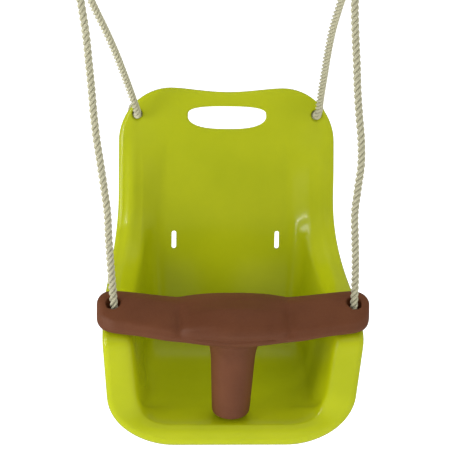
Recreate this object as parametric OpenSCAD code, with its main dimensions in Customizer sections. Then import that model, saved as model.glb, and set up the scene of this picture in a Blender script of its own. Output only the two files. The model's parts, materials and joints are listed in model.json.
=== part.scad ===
// Toddler bucket swing: a moulded seat shell, a T-shaped safety bar that slides up the front
// ropes, and two ropes that each loop over a thimble in a steel hanging ring.
// The origin is the hang line: the top inside of the rings, at the middle of the seat.
// +X is the seated child's left, -Y is the front of the seat, +Z is up.

/* [Seat shell] */
// Half width of the shell across the back
back_half = 141; // [115:1:165]
// Half width of the shell across the arms and the front
arm_half = 160; // [140:1:190]
// Height of the top of the back above the seat floor
back_h = 343; // [290:1:410]
// Height of the arm tops above the seat floor
arm_h = 135; // [115:1:160]
// Distance from the top of the back to the front face
seat_depth = 292; // [245:1:340]
// Recline of the back from upright, in degrees
recline = 15; // [10:1:20]
// Rise of the floor towards the front, in degrees
floor_rise = 6; // [3:1:9]
// Height of the floor where it meets the front face
floor_front = 11; // [6:1:16]
// Drop of the front lip below the seat floor
lip_drop = 20; // [12:1:26]
// Thickness of the moulding
shell_wall = 4.5; // [3:0.1:5]
// Width of the flat flange round the shell
flange_w = 28; // [24:1:34]
// Radius of the rolled outer edge
edge_roll = 8; // [6.5:0.5:9]
// Straight skirt below the rolled edge
edge_skirt = 3; // [1:0.5:5]
// Height that the flange stands proud beside the back
back_bead = 14; // [8:1:20]
// Corner radius at the top of the back
top_corner = 68; // [50:1:76]
// Corner radius at the bottom of the front
foot_corner = 80; // [60:1:95]
// Dip in the middle of the top edge
top_dip = 5; // [0:0.5:8]

/* [Openings] */
// Width of the grip opening near the top of the back
grip_w = 102; // [80:1:120]
// Height of the grip opening
grip_h = 30; // [24:1:36]
// Distance of the grip opening's centre below the top of the back
grip_drop = 39; // [34:1:50]
// Radius of the rope holes in the back
back_hole_r = 6.5; // [5.5:0.5:8]
// Distance of the back rope holes from the middle
back_hole_x = 117; // [95:1:140]
// Distance of the back rope holes below the top of the back
back_hole_drop = 36; // [28:1:50]
// Width of a harness slot
slot_w = 6; // [4.5:0.5:8]
// Length of a harness slot
slot_len = 24; // [18:1:32]
// Distance of the harness slots from the middle
slot_x = 68; // [50:1:72]
// Height of the harness slots above the seat floor
slot_z = 146; // [120:1:165]

/* [Safety bar] */
// Distance that each end of the crossbar reaches out past the arms
bar_reach = 7; // [4:1:12]
// Depth of the crossbar at its ends, front to back
bar_depth = 61; // [54:1:68]
// Height of the crossbar at its ends
bar_h = 35; // [30:1:38]
// Distance that the front of the crossbar bows forward in the middle
bar_bow = 32; // [24:1:36]
// Distance that the back of the crossbar bows forward in the middle
back_bow = 14; // [8:1:18]
// Drop of the crossbar's underside in the middle
belly = 6; // [3:1:8]
// Rise of the pad in the middle of the crossbar
pad_rise = 6; // [4:0.5:10]
// Dip of the crossbar beside the pad
scoop = 3.5; // [2:0.5:8]
// Drop of the crossbar's top towards its front edge in the middle
front_slope = 8; // [0:1:12]
// Drop of the crossbar's top towards its front edge at the ends
end_slope = 11; // [0:1:14]
// Radius of the rope bores
bore_r = 9; // [8.5:0.5:10]
// Distance of the rope bores in from the outer edge of the arms
bore_in = 13; // [10:0.5:15]
// Radius of the post at the top
post_top_r = 28.5; // [24:0.5:30]
// Radius of the post at the foot
post_foot_r = 23.5; // [20:0.5:26]
// Gap between the foot of the post and the front lip
foot_gap = 2; // [1.5:0.5:8]
// Gap between the crossbar and the arm tops
rest_gap = 0.6; // [0.4:0.1:1]

/* [Ropes and hanging rings] */
// Diameter of the rope
rope_d = 10; // [9:0.5:10]
// Height of the hang line above the seat floor
hang_h = 697; // [693:1:701]
// Distance of the hang line in front of the top of the back
hang_front = 185; // [182:1:188]
// Distance of the ring on the -X side from the middle
ring_x_a = -193; // [-195:1:-191]
// Distance of the ring on the +X side from the middle
ring_x_b = 134; // [132:1:136]
// Radius of the ring's wire
wire_r = 4; // [3.5:0.1:4]
// Mean radius of the ring
ring_r = 24; // [24:1:30]
// Clearance between the ring's wire and the thimble's eye
eye_gap = 0.3; // [0.3:0.05:0.4]
// Radius of the thimble's eye
eye_r = 13; // [12.5:0.1:13]
// Radius of the middle of the rope round the thimble
loop_r = 21; // [20.5:0.1:21.5]
// Width of the thimble
thimble_w = 16; // [15:0.5:17]
// Length of the rope clamp
clamp_len = 25; // [20:1:28]
// Thickness of the rope clamp
clamp_wall = 2.5; // [2:0.1:3.5]
// Radius of a stopper knot
knot_r = 13; // [10:0.5:13]
// Length of the rope end below a knot
tail_len = 14; // [8:1:25]

/* [Hidden] */

// Tilt of the shell's opening: n runs out of the opening and t runs up along it.
open_tilt = 40;
t_top = back_h * cos(open_tilt);
t_foot = -seat_depth * sin(open_tilt) - lip_drop * cos(open_tilt);
// Steps along the outline: half of the top, a corner, a side, a foot corner, half of the foot.
top_steps = 4;
corner_steps = 7;
side_steps = 27;
foot_corner_steps = 8;
foot_steps = 4;
half_steps = top_steps + corner_steps + side_steps + foot_corner_steps + foot_steps;
ring_n = 2 * half_steps;
// Shortening of the outline's corners along t, where the surface is steep.
top_squash = 0.95;
foot_squash = 0.66;
inset_top = 0.9;
inset_foot = cos(open_tilt);
// Radii where the flange turns down into the wall, and where the wall meets the floor.
brow_r = 12;
toe_r = 26;
brow_steps = 3;
toe_steps = 4;
// Width of the wall, seen through the opening, where it is shallow and where it is deep.
wall_band = 36;
wall_band_deep = 50;
wall_deep = 120;
// Where along t the beads rise, the shell widens to the arms, and the front tapers to the foot.
bead_start = 30;
bead_run = 90;
widen_top = 135;
widen_run = 195;
foot_taper = 10;
taper_top = -90;
taper_run = 110;
// Half width of the dip in the top edge.
dip_half = 75;
dip_fade = 24;
// Smallest corner radii of an inner ring: at the top and at the foot, and their blend.
least_top_r = 18;
least_foot_r = 24;
corner_blend = 10;
// Blends between the floor, the back, the arms and the front face.
floor_blend = 70;
arm_blend = 100;
front_blend = 30;
lip_blend = 34;

// Colours
lime = [0.62, 0.67, 0.05];
brown = [0.36, 0.19, 0.11];
hemp = [0.83, 0.80, 0.68];
zinc = [0.72, 0.73, 0.75];
black_nylon = [0.1, 0.1, 0.1];

function clamp01(v) = max(0, min(1, v));
function ease(v) = let (c = clamp01(v)) c * c * (3 - 2 * c);
function smooth_max(a, b, r) = let (h = max(r - abs(a - b), 0) / r) max(a, b) + h * h * r / 4;
function smooth_min(a, b, r) = -smooth_max(-a, -b, r);
function unit(v) = v / norm(v);
function mix(a, b, s) = a + (b - a) * s;

// The lines that make the seat's side view, each as n at a given t.
function n_back(t) = (back_h * sin(recline) + t * sin(open_tilt - recline)) / cos(open_tilt - recline);
function n_floor(t) =
    (floor_front * cos(floor_rise) - seat_depth * sin(floor_rise) - t * cos(open_tilt - floor_rise))
    / sin(open_tilt - floor_rise);
function n_arm(t) = (arm_h - t * cos(open_tilt)) / sin(open_tilt);
function n_front(t) = (seat_depth + t * sin(open_tilt)) / cos(open_tilt);
function bead(t) = back_bead * ease((t_top - bead_start - t) / bead_run);
function inner_n(t) = smooth_min(smooth_max(n_back(t), n_floor(t), floor_blend), n_front(t), lip_blend);
function flange_n(t) =
    smooth_min(smooth_max(n_back(t) + bead(t), n_arm(t), arm_blend), n_front(t), front_blend);

// The outline's half width: the back, the wider arms, and a slight taper down the front.
function half_at(t) =
    back_half + (arm_half - back_half) * ease((widen_top - t) / widen_run)
    - foot_taper * clamp01((taper_top - t) / taper_run);

// A point of the outline, drawn in by d: [x, t, share of the flange that is kept].
function outline(i, d) =
    let (r_top = smooth_max(top_corner - d, least_top_r, corner_blend),
         r_foot = smooth_max(foot_corner - d, least_foot_r, corner_blend),
         t_hi = t_top - d * inset_top, t_lo = t_foot + d * inset_foot,
         side_hi = t_hi - r_top * top_squash, side_lo = t_lo + r_foot * foot_squash,
         i1 = top_steps, i2 = i1 + corner_steps, i3 = i2 + side_steps, i4 = i3 + foot_corner_steps)
    i <= i1 ? let (x = (half_at(t_hi) - d - r_top) * i / top_steps)
                [x, t_hi - top_dip * pow(1 - pow(clamp01(x / dip_half), 2), 2)
                     * clamp01(1 - d / dip_fade), 1]
    : i <= i2 ? let (a = 90 * (i - i1) / corner_steps, t = side_hi + r_top * top_squash * cos(a))
                [half_at(t) - d - r_top * (1 - sin(a)), t, 1]
    : i <= i3 ? let (t = mix(side_hi, side_lo, (i - i2) / side_steps)) [half_at(t) - d, t, 1]
    : i <= i4 ? let (a = 90 * (i - i3) / foot_corner_steps, t = side_lo - r_foot * foot_squash * sin(a))
                [half_at(t) - d - r_foot * (1 - cos(a)), t, pow(cos(a), 2)]
    : [(half_at(t_lo) - d - r_foot) * (half_steps - i) / foot_steps, t_lo, 0];

// The wall's section: an arc, a straight and an arc, as [inset, share of the drop].
function section(k, drop) =
    let (h = max(drop, 2), band = mix(wall_band, wall_band_deep, ease(h / wall_deep)),
         rise = h - brow_r - toe_r, slope = atan2(rise, band) + asin((brow_r + toe_r) / norm([band, rise])))
    k <= brow_steps
        ? let (a = slope * k / brow_steps) [brow_r * sin(a), brow_r * (1 - cos(a)) / h]
        : let (a = slope * (1 - (k - brow_steps - 1) / toe_steps))
          [band - toe_r * sin(a), 1 - toe_r * (1 - cos(a)) / h];

// The rings of the shell's skin, from the skirt to the floor.
roll_steps = 3;
flange_ring = roll_steps + 2;
last_ring = flange_ring + brow_steps + 1 + toe_steps;
function ring_inset(k, drop) =
    k == 0 ? 0
    : k <= roll_steps + 1 ? edge_roll * (1 - cos(90 * (k - 1) / roll_steps))
    : flange_w + section(k - flange_ring, drop)[0];
function edge_drop(k) =
    k == 0 ? edge_roll + edge_skirt
    : k <= roll_steps + 1 ? edge_roll * (1 - sin(90 * (k - 1) / roll_steps))
    : 0;
function skin_point(k, i) =
    let (side = i <= half_steps ? 1 : -1, j = i <= half_steps ? i : ring_n - i,
         base = outline(j, flange_w), drop = (flange_n(base[1]) - inner_n(base[1])) * base[2],
         o = outline(j, ring_inset(k, drop)), low = inner_n(o[1]),
         high = mix(low, flange_n(o[1]), o[2]),
         fall = k < flange_ring ? 0 : section(k - flange_ring, drop)[1],
         n = mix(high, low, fall) - edge_drop(k))
    [side * o[0], o[1] * sin(open_tilt) - n * cos(open_tilt), n * sin(open_tilt) + o[1] * cos(open_tilt)];

skin = [for (k = [0 : last_ring]) [for (i = [0 : ring_n - 1]) skin_point(k, i)]];
function skin_normal(k, i) =
    let (a = skin[min(k + 1, last_ring)][i] - skin[max(k - 1, 0)][i],
         b = skin[k][(i + 1) % ring_n] - skin[k][(i + ring_n - 1) % ring_n])
    unit(cross(a, b));
outer_skin = [for (k = [0 : last_ring]) [for (i = [0 : ring_n - 1])
    skin[k][i] - shell_wall * skin_normal(k, i)]];

// A strip of faces between two rings of points that start at numbers a and b.
function strip(a, b, n) = [for (i = [0 : n - 1]) let (j = (i + 1) % n)
    each [[a + i, b + i, b + j], [a + i, b + j, a + j]]];
// The floor inside the last ring: one face at each end, and rungs between its two sides.
function floor_faces(a) = concat(
    [[for (i = [-top_steps - 1 : top_steps + 1]) a + (i + ring_n) % ring_n]],
    [for (i = [top_steps + 1 : half_steps - foot_steps - 2])
        each [[a + i, a + i + 1, a + ring_n - i - 1], [a + i, a + ring_n - i - 1, a + ring_n - i]]],
    [[for (i = [half_steps - foot_steps - 1 : half_steps + foot_steps + 1]) a + i]]);
function flip(faces) = [for (f = faces) [for (i = [len(f) - 1 : -1 : 0]) f[i]]];

module shell_body() {
    rings = last_ring + 1;
    inner_faces = concat([for (k = [0 : last_ring - 1]) each strip(k * ring_n, (k + 1) * ring_n, ring_n)],
                         floor_faces(last_ring * ring_n));
    outer_faces = [for (f = inner_faces) [for (i = f) i + rings * ring_n]];
    polyhedron(points = concat([for (r = skin) each r], [for (r = outer_skin) each r]),
               faces = concat(flip(inner_faces), outer_faces, strip(0, rings * ring_n, ring_n)),
               convexity = 6);
}

// Moves from the seat's own frame, with its floor at zero, to the hang line.
module at_seat() {
    translate([0, hang_front, -hang_h]) children();
}

// Stands on the back panel: x across, at a distance below its top, +Z out of the panel.
module on_back(x, drop) {
    translate([x, -drop * tan(recline), back_h - drop]) rotate([90 - recline, 0, 0]) children();
}

module slot_cut(width, height) {
    r = min(width, height) / 2;
    cut = 60;
    dx = width / 2 - r;
    dy = height / 2 - r;
    for (side = [-1, 1])
        translate([side * dx, side * dy, 0]) cylinder(r = r, h = cut, center = true, $fn = 48);
    cube([max(2 * dx, 2 * r - 0.01), max(2 * dy, 2 * r - 0.01), cut], center = true);
}

// The crossbar spans the arms, and the front ropes pass through it there, with a lean.
bar_half = arm_half + bar_reach;
bore_x = arm_half - bore_in;
bore_back = 25;
bore_front = seat_depth - bore_back;
rope_lean = 0.184;
bore_slant = -0.04;
bar_z = arm_h + rest_gap;
flange_hole_gap = 1.5;
flange_hole_r = rope_d / 2 + flange_hole_gap;
flange_hole_in = 1.5;
flange_hole_x = bore_x - flange_hole_in;
flange_hole_front = bore_front + rope_lean * bar_h;

module seat_shell() {
    color(lime) at_seat() difference() {
        shell_body();
        for (side = [-1, 1]) {
            on_back(side * back_hole_x, back_hole_drop)
                cylinder(r = back_hole_r, h = 40, center = true, $fn = 48);
            on_back(side * slot_x, back_h - slot_z) slot_cut(slot_w, slot_len);
            translate([side * flange_hole_x, -flange_hole_front, arm_h])
                cylinder(r = flange_hole_r, h = 40, center = true, $fn = 48);
        }
        on_back(0, grip_drop) slot_cut(grip_w, grip_h);
    }
}

// The crossbar's section at a distance a from the middle: [front, back, top, bottom].
bar_end_out = 2;
bar_front_end = seat_depth + bar_end_out;
bar_end_r = 24;
bar_end_drop = 11;
pad_half = 66;
pad_power = 2.2;
scoop_run = 80;
bow_run = 155;
bow_round = 35;
belly_run = 115;
bar_end_half = 4;
bar_end_share = 0.55;
// From 0 in the middle to 1 at the end of its run: straight, but rounded over in the middle.
function chevron(a, run) =
    clamp01((norm([a, bow_round]) - bow_round) / (norm([run, bow_round]) - bow_round));
function bar_section(a) =
    let (bow = 1 - chevron(a, bow_run),
         front = bar_front_end + bar_bow * bow,
         back = bar_front_end - bar_depth + back_bow * bow,
         pad = 1 - pow(clamp01(a / pad_half), pad_power),
         dish = scoop * (1 - pad) * (1 - ease((a - pad_half) / scoop_run)),
         past = clamp01((a - bar_half + bar_end_r) / bar_end_r), round = sqrt(1 - past * past),
         past_z = clamp01((a - bar_half + bar_end_drop) / bar_end_drop), round_z = sqrt(1 - past_z * past_z),
         top = bar_z + bar_h + pad_rise * pad - dish,
         bottom = bar_z - belly * (1 - chevron(a, belly_run)),
         half_f = max((front - back) / 2 * round, bar_end_half),
         half_z = (top - bottom) / 2 * mix(bar_end_share, 1, round_z))
    [(front + back) / 2, half_f, (top + bottom) / 2, half_z];
bar_sides = 28;
bar_steps = 15;
bar_power = 2 / 4;
function soft_power(v) = sign(v) * pow(abs(v), bar_power);
// How far the top slopes down towards the front at a distance a from the middle, for a point at
// -1 to 1 forwards and -1 to 1 upwards in the section.
function slope_at(a) = mix(front_slope, end_slope, chevron(a, bow_run));
function slope_down(a, forward, upward) =
    slope_at(a) * ease((forward + 0.4) / 1.4) * clamp01((upward + 0.6) / 1.6);
bar_half_x = concat([for (i = [0 : bar_steps]) i * (bar_half - bar_end_r) / bar_steps],
                    [for (i = [1 : 7]) bar_half - bar_end_r * (1 - sin(90 * i / 7))]);
bar_x = concat([for (i = [len(bar_half_x) - 1 : -1 : 1]) -bar_half_x[i]], bar_half_x);

// A closed skin through rings of the same number of points.
module loft(rings) {
    n = len(rings[0]);
    last = len(rings) - 1;
    polyhedron(points = [for (r = rings) each r],
               faces = concat([[for (i = [0 : n - 1]) i]],
                              [for (k = [0 : last - 1]) each strip(k * n, (k + 1) * n, n)],
                              [[for (i = [n - 1 : -1 : 0]) last * n + i]]),
               convexity = 6);
}

module bar_body() {
    loft([for (x = bar_x) let (s = bar_section(abs(x))) [for (i = [0 : bar_sides - 1])
        let (a = 360 * (i + 0.5) / bar_sides)
        let (forward = soft_power(cos(a)), upward = -soft_power(sin(a)))
        [x, -s[0] - s[1] * forward, s[2] + s[3] * upward - slope_down(abs(x), forward, upward)]]]);
}

// The post leans forward a little; its peg is held in a socket under the crossbar.
post_foot_back = 24;
post_top_back = 8;
post_foot_front = seat_depth - post_foot_back;
post_top_front = seat_depth - post_top_back;
post_flare = 5;
post_nose = 2;
peg_r = 17;
peg_len = 14;
peg_gap = 0.1;
seat_in = 0.8;
// The crossbar's underside is cored out on each side of the socket.
bar_wall = 4;
pockets = 4;
pocket_in = 27;
pocket_len = 25;
rib = 2.5;
pocket_trim = 2;
post_wall = 4;
post_foot_z = floor_front + foot_gap;
post_lean = atan((post_top_front - post_foot_front) / (bar_z - belly - post_foot_z));
post_len = (bar_z - belly - post_foot_z) / cos(post_lean);
module at_post() {
    translate([0, -post_foot_front, post_foot_z]) rotate([post_lean, 0, 0]) children();
}

module crossbar() {
    color(brown) at_seat() difference() {
        bar_body();
        at_post() translate([0, 0, post_len - 20]) cylinder(r = peg_r + peg_gap, h = 20 + peg_len, $fn = 64);
        for (side = [-1, 1], i = [0 : pockets - 1])
            let (near = bar_section(pocket_in + i * (pocket_len + rib)),
                 far = bar_section(pocket_in + i * (pocket_len + rib) + pocket_len),
                 front = min(near[0] + near[1], far[0] + far[1]) - bar_wall - pocket_trim,
                 back = max(near[0] - near[1], far[0] - far[1]) + bar_wall + pocket_trim,
                 top = min(near[2] + near[3], far[2] + far[3]) - bar_wall
                     - slope_at(pocket_in + i * (pocket_len + rib) + pocket_len),
                 bottom = bar_z - belly - 1)
                translate([side * (pocket_in + i * (pocket_len + rib) + pocket_len / 2),
                           -(front + back) / 2, (top + bottom) / 2])
                    cube([pocket_len, front - back, top - bottom], center = true);
        for (side = [-1, 1])
            translate([side * bore_x, -bore_front, bar_z + bar_h])
                rotate([-atan(rope_lean), atan(bore_slant), 0])
                    cylinder(r = bore_r, h = 140, center = true, $fn = 64);
    }
}

module post() {
    top = post_len + seat_in;
    color(brown) at_seat() at_post() rotate_extrude($fn = 96)
        polygon(concat([[0, top - 2 * post_wall], [post_top_r - 2 * post_wall, top - 2 * post_wall],
                        [post_foot_r - post_wall, 0],
                        [post_foot_r - post_nose, 0], [post_foot_r, post_nose]],
                       [for (s = [0.7 : 0.06 : 1]) [mix(post_foot_r, post_top_r, s)
                           + post_flare * pow((s - 0.7) / 0.3, 2), s * top]],
                       [[peg_r, top], [peg_r, top + peg_len - 2], [0, top + peg_len - 2]]));
}

// Rope routes from the back knot, over the thimble, to the front knot. The height of each loop
// over its thimble is shared; the two sides hang differently, as ropes under a little slack do.
loop_path = [[5.5, -115], [5.5, -102], [5.5, -90], [6.5, -82], [9.5, -76], [13, -70.5], [17.5, -64.5],
             [20.5, -58.5], [21, -51.5], [18, -42], [10.5, -34.5], [0, -31.7], [-10.5, -34.5],
             [-18, -42], [-21, -51.5], [-20.5, -58.5], [-17.5, -64.5], [-13, -70.5], [-9.5, -76],
             [-6.5, -82], [-5.5, -90], [-5.5, -102], [-5.5, -115]];
back_path_left = [[-117, 189.5, -394], [-117, 184, -392.5], [-117, 179.5, -391], [-117, 175.5, -390],
                  [-117, 170, -388.5], [-117, 166, -387], [-117, 162, -384.5], [-117, 159, -381.5],
                  [-117.5, 157, -378.5], [-126, 137.5, -345], [-135.5, 117, -310],
                  [-145.5, 96.5, -275], [-157, 76.5, -240], [-169.5, 56, -205], [-181, 35.5, -170],
                  [-189, 18, -140], [-192.5, 7, -121.5]];
front_path_left = [[-192, -7, -121.5], [-188.5, -12.5, -150], [-183.5, -18, -180], [-179, -23.5, -210],
                   [-176, -29, -240], [-173, -34.5, -270], [-170.5, -40, -300], [-167, -45.5, -330],
                   [-162.5, -51, -360], [-158, -56.5, -390], [-154, -62, -420], [-152.5, -67.5, -450],
                   [-150.5, -73, -480], [-148, -78.5, -510], [-146, -83, -535], [-145.5, -88, -562],
                   [-144.5, -87, -574], [-144, -87, -581.5]];
back_path_right = [[117, 189.5, -394], [117, 184, -392.5], [117, 179.5, -391], [117, 175.5, -390],
                   [117, 170, -388.5], [117, 166, -387], [117, 162, -384.5], [117, 159, -381.5],
                   [117.5, 157, -378.5], [117.5, 137.5, -345], [118, 117, -310],
                   [118.5, 96.5, -275], [120, 76.5, -240], [123.5, 56, -205], [128.5, 35.5, -170],
                   [132, 18, -140], [133.5, 7, -121.5]];
front_path_right = [[134, -7, -121.5], [134.5, -12.5, -150], [135.5, -18, -180], [137.5, -23.5, -210],
                    [140, -29, -240], [142, -34.5, -270], [145, -40, -300], [148.5, -45.5, -330],
                    [149.5, -51, -360], [146.5, -56.5, -390], [144, -62, -420], [145.5, -67.5, -450],
                    [147, -73, -480], [147.5, -78.5, -510], [147, -83, -535], [146, -88, -562],
                    [144.5, -87, -574], [144, -87, -581.5]];
function loop_at(x) = [for (p = loop_path) [x, p[0], p[1]]];
rope_path_left = concat(back_path_left, loop_at(ring_x_a), front_path_left);
rope_path_right = concat(back_path_right, loop_at(ring_x_b), front_path_right);
rope_sides = 8;

// A tube along a route, with a ring at every point.
module rope_tube(path) {
    last = len(path) - 1;
    loft([for (i = [0 : last])
        let (ahead = unit(path[min(i + 1, last)] - path[max(i - 1, 0)]),
             u = unit(cross(ahead, [1, 0, 0])), v = cross(ahead, u))
        [for (j = [0 : rope_sides - 1]) let (a = 360 * j / rope_sides)
            path[i] + rope_d / 2 * (cos(a) * u + sin(a) * v)]]);
}

module rope_left() {
    color(hemp) rope_tube(rope_path_left);
}

module rope_right() {
    color(hemp) rope_tube(rope_path_right);
}

// A stopper knot with its rope end, at a place, with the end pointing along -Z after tilting.
module knot(place, tilt) {
    color(hemp) translate(place) rotate([tilt, 0, 0]) {
        sphere(r = knot_r, $fn = 48);
        translate([0, 0, -knot_r - tail_len]) cylinder(r = rope_d / 2, h = tail_len + 4, $fn = 32);
    }
}

back_knot_gap = 3.2;
back_knot_out = knot_r + shell_wall + back_knot_gap;
module back_knot(side) {
    knot([side * back_hole_x,
          hang_front - back_hole_drop * tan(recline) + back_knot_out * cos(recline),
          back_h - back_hole_drop - back_knot_out * sin(recline) - hang_h], 90 - recline);
}

front_knot_gap = 2;
front_knot_in = 1.5;
front_knot_back = 1;
module front_knot(side) {
    knot([side * (flange_hole_x - front_knot_in), hang_front - flange_hole_front + front_knot_back,
          arm_h - shell_wall - knot_r - front_knot_gap - hang_h], 0);
}

module back_knot_left() { back_knot(-1); }
module back_knot_right() { back_knot(1); }
module front_knot_left() { front_knot(-1); }
module front_knot_right() { front_knot(1); }

// A sleeve round both legs of the rope, just under the thimble.
clamp_top = -90;
leg_gap = 5.5;
module rope_clamp(x) {
    outer = rope_d / 2 + clamp_wall;
    color(black_nylon) translate([x, 0, clamp_top - clamp_len]) linear_extrude(clamp_len) difference() {
        union() {
            for (side = [-1, 1]) translate([0, side * leg_gap]) circle(r = outer, $fn = 64);
            square([2 * outer, 2 * leg_gap], center = true);
        }
        for (side = [-1, 1]) translate([0, side * leg_gap]) circle(r = rope_d / 2, $fn = 64);
    }
}

module rope_clamp_left() { rope_clamp(ring_x_a); }
module rope_clamp_right() { rope_clamp(ring_x_b); }

// A round grooved eye for the rope; its inside flares so that the ring's curved wire passes.
wire_z = -(2 * ring_r - wire_r);
thimble_z = wire_z - (eye_r - wire_r - eye_gap);
flare_r = 18;
module thimble(x) {
    rim_r = loop_r - 0.5;
    color(black_nylon) translate([x, 0, thimble_z]) rotate([0, 90, 0]) rotate_extrude($fn = 96) difference() {
        intersection() {
            translate([eye_r - 1, -thimble_w / 2]) square([rim_r - eye_r + 1, thimble_w]);
            translate([eye_r + flare_r, 0]) circle(r = flare_r, $fn = 96);
        }
        translate([loop_r, 0]) circle(r = rope_d / 2 + 0.4, $fn = 48);
    }
}

module thimble_left() { thimble(ring_x_a); }
module thimble_right() { thimble(ring_x_b); }

module hanging_ring(x) {
    color(zinc) translate([x, 0, wire_r - ring_r]) rotate([90, 0, 0])
        rotate_extrude($fn = 96) translate([ring_r, 0]) circle(r = wire_r, $fn = 32);
}

module hanging_ring_left() { hanging_ring(ring_x_a); }
module hanging_ring_right() { hanging_ring(ring_x_b); }

seat_shell();
crossbar();
post();
rope_left();
rope_right();
back_knot_left();
back_knot_right();
front_knot_left();
front_knot_right();
rope_clamp_left();
rope_clamp_right();
thimble_left();
thimble_right();
hanging_ring_left();
hanging_ring_right();
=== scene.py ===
"""The looks of a toddler bucket swing: laid ropes with stopper knots, a glossy moulded seat shell, a matte
T-shaped safety bar, and the hardware that the ropes hang from. Metres, in the frame of the CAD part:
X across, -Y forward, Z up, with the hang line at the origin."""

import json
import math

import bmesh
import bpy
import numpy as np
from mathutils import Matrix, Vector

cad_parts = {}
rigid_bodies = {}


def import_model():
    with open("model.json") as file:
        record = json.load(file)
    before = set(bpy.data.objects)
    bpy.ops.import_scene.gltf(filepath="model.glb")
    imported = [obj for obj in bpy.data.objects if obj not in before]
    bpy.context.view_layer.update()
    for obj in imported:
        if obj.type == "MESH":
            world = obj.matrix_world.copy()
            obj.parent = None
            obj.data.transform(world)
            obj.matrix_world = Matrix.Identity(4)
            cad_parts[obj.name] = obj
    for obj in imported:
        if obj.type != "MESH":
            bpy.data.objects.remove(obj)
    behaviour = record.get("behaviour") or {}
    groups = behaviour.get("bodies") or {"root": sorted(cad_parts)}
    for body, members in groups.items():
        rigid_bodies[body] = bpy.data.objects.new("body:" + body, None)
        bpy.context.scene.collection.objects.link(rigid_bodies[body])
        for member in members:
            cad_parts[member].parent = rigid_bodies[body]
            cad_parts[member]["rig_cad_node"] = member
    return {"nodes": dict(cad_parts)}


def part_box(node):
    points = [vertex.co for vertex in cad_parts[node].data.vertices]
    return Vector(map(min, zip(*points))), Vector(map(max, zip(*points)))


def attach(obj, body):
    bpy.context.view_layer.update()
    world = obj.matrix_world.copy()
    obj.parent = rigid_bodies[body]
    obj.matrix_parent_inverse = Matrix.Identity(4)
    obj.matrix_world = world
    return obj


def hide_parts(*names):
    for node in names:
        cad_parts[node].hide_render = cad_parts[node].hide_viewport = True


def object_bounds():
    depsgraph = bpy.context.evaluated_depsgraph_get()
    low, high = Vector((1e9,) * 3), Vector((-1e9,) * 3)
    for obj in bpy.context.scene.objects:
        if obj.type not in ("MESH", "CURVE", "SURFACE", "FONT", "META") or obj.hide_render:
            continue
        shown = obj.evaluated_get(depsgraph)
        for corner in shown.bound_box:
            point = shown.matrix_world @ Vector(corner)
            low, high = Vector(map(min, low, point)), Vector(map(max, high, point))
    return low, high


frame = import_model()
cad_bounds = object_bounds()
NODES = frame["nodes"]
MM = 0.001


# ---------------------------------------------------------------- small helpers
def clamp01(v):
    return min(max(v, 0.0), 1.0)


def ease(v):
    c = clamp01(v)
    return c * c * (3 - 2 * c)


def mix(a, b, share):
    return a + (b - a) * share


def smooth_max(a, b, r):
    h = max(r - abs(a - b), 0) / r
    return max(a, b) + h * h * r / 4


def smooth_min(a, b, r):
    return -smooth_max(-a, -b, r)


def sind(a):
    return math.sin(math.radians(a))


def cosd(a):
    return math.cos(math.radians(a))


def tand(a):
    return math.tan(math.radians(a))


def unit(v):
    return v / np.linalg.norm(v)


def mesh_object(name, points, faces):
    """A smooth-shaded mesh object from points in metres."""
    mesh = bpy.data.meshes.new(name)
    mesh.from_pydata([tuple(map(float, p)) for p in points], [], faces)
    mesh.validate()
    for polygon in mesh.polygons:
        polygon.use_smooth = True
    piece = bpy.data.objects.new(name, mesh)
    bpy.context.scene.collection.objects.link(piece)
    return piece


def apply_modifiers(piece):
    """Makes the result of a piece's modifiers its own mesh."""
    graph = bpy.context.evaluated_depsgraph_get()
    done = bpy.data.meshes.new_from_object(piece.evaluated_get(graph))
    piece.modifiers.clear()
    piece.data = done


def cut(piece, cutters, operation="DIFFERENCE"):
    """Cuts the cutters out of a piece, or joins them to it, and removes them."""
    for cutter in cutters:
        step = piece.modifiers.new("cut", "BOOLEAN")
        step.operation = operation
        step.solver = "EXACT"
        step.object = cutter
    apply_modifiers(piece)
    for cutter in cutters:
        bpy.data.objects.remove(cutter)


def sharpen(piece, angle):
    """Marks edges sharper than an angle, in degrees, so that they shade as edges."""
    work = bmesh.new()
    work.from_mesh(piece.data)
    for face in work.faces:
        face.smooth = True
    for edge in work.edges:
        edge.smooth = edge.calc_face_angle(0.0) < math.radians(angle)
    work.to_mesh(piece.data)
    work.free()


def fix_normals(piece):
    """Turns the faces of a closed mesh outwards."""
    work = bmesh.new()
    work.from_mesh(piece.data)
    bmesh.ops.recalc_face_normals(work, faces=work.faces)
    work.to_mesh(piece.data)
    work.free()


def strip(a, b, n):
    """Quads between two rings of n points that start at numbers a and b."""
    return [(a + i, b + i, b + (i + 1) % n, a + (i + 1) % n) for i in range(n)]


def loft(name, rings):
    """A closed skin through rings of the same number of points."""
    n, last = len(rings[0]), len(rings) - 1
    faces = [tuple(range(n)), tuple(last * n + i for i in reversed(range(n)))]
    for k in range(last):
        faces += strip(k * n, (k + 1) * n, n)
    return mesh_object(name, [p for ring in rings for p in ring], faces)


# ---------------------------------------------------------------- camera
CAMERA = {"lens": 150, "azimuth": -3.671, "elevation": 26.092, "roll": 1.809, "distance": 2.438,
          "target": (0.004, 0.0, -0.479), "sensor": 36}


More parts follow.
